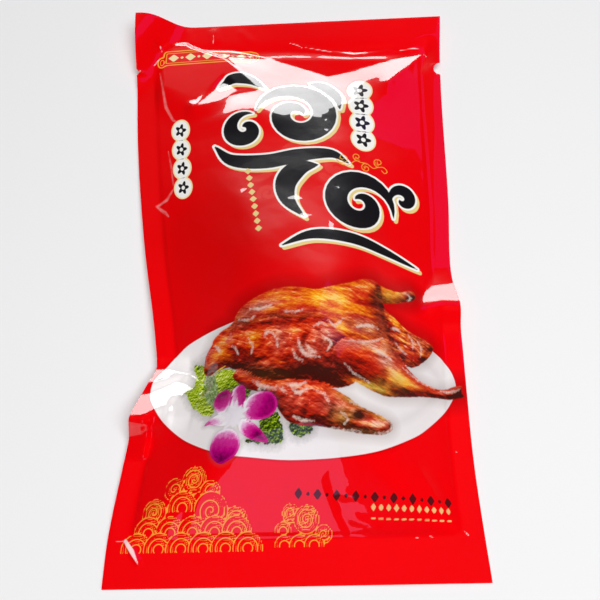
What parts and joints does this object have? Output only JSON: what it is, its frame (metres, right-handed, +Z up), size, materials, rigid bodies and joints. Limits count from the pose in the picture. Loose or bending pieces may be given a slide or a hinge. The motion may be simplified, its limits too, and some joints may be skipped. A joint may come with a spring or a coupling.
{
  "type": "sealed food pouch",
  "caption": "Large sealed printed film pouch holding a whole cooked bird, lying flat, with a header seal, tear notches, a creased waist and a mounded front.",
  "frame": {"origin": "on the table under the middle of the pouch, at the bottom centre of its box", "axes": "+Y along the pouch towards the header seal and the tear notches, +X across it, +Z up out of the printed front film"},
  "size_m": [0.26, 0.46, 0.068],
  "materials": {
    "printed_film": "high-gloss laminated film, printed red"
  },
  "bodies": {
    "root": {"pouch": "printed_film"}
  },
  "joints": []
}
